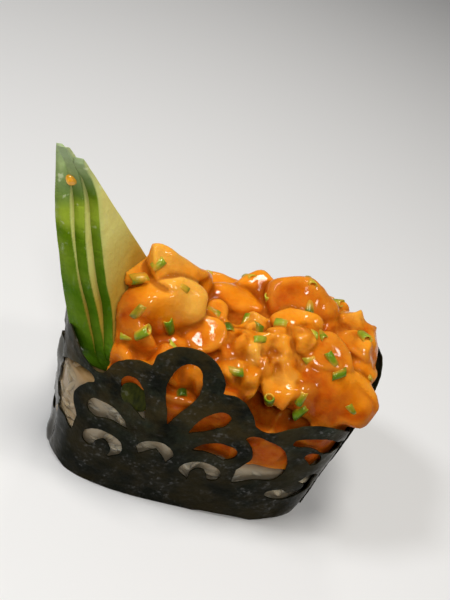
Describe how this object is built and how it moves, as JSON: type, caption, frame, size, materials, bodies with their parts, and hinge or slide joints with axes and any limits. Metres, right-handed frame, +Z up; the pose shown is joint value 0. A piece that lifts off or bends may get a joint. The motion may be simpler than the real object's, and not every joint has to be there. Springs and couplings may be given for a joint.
{
  "type": "salmon gunkan sushi",
  "caption": "Oval gunkan sushi: a lace-cut seaweed band round a block of rice, heaped with glossy diced salmon and cut chives, with a fan of cucumber slices standing at one end",
  "frame": {"origin": "centre of the rice's flat underside, on the plate", "axes": "+Z up; +X along the oval's long axis, away from the cucumber; -Y towards the lace-cut front"},
  "size_m": [0.0649, 0.0367, 0.0623],
  "materials": {
    "seaweed": "satin, finely wrinkled, dark green-black",
    "rice": "moist, off-white",
    "salmon": "wet and glossy, orange",
    "cucumber": "moist, green skin and pale flesh"
  },
  "bodies": {
    "root": {"seaweed_band": "seaweed", "rice_base": "rice", "salmon_tartare": "salmon", "cucumber_slice_1": "cucumber", "cucumber_slice_2": "cucumber", "cucumber_slice_3": "cucumber"}
  },
  "joints": []
}
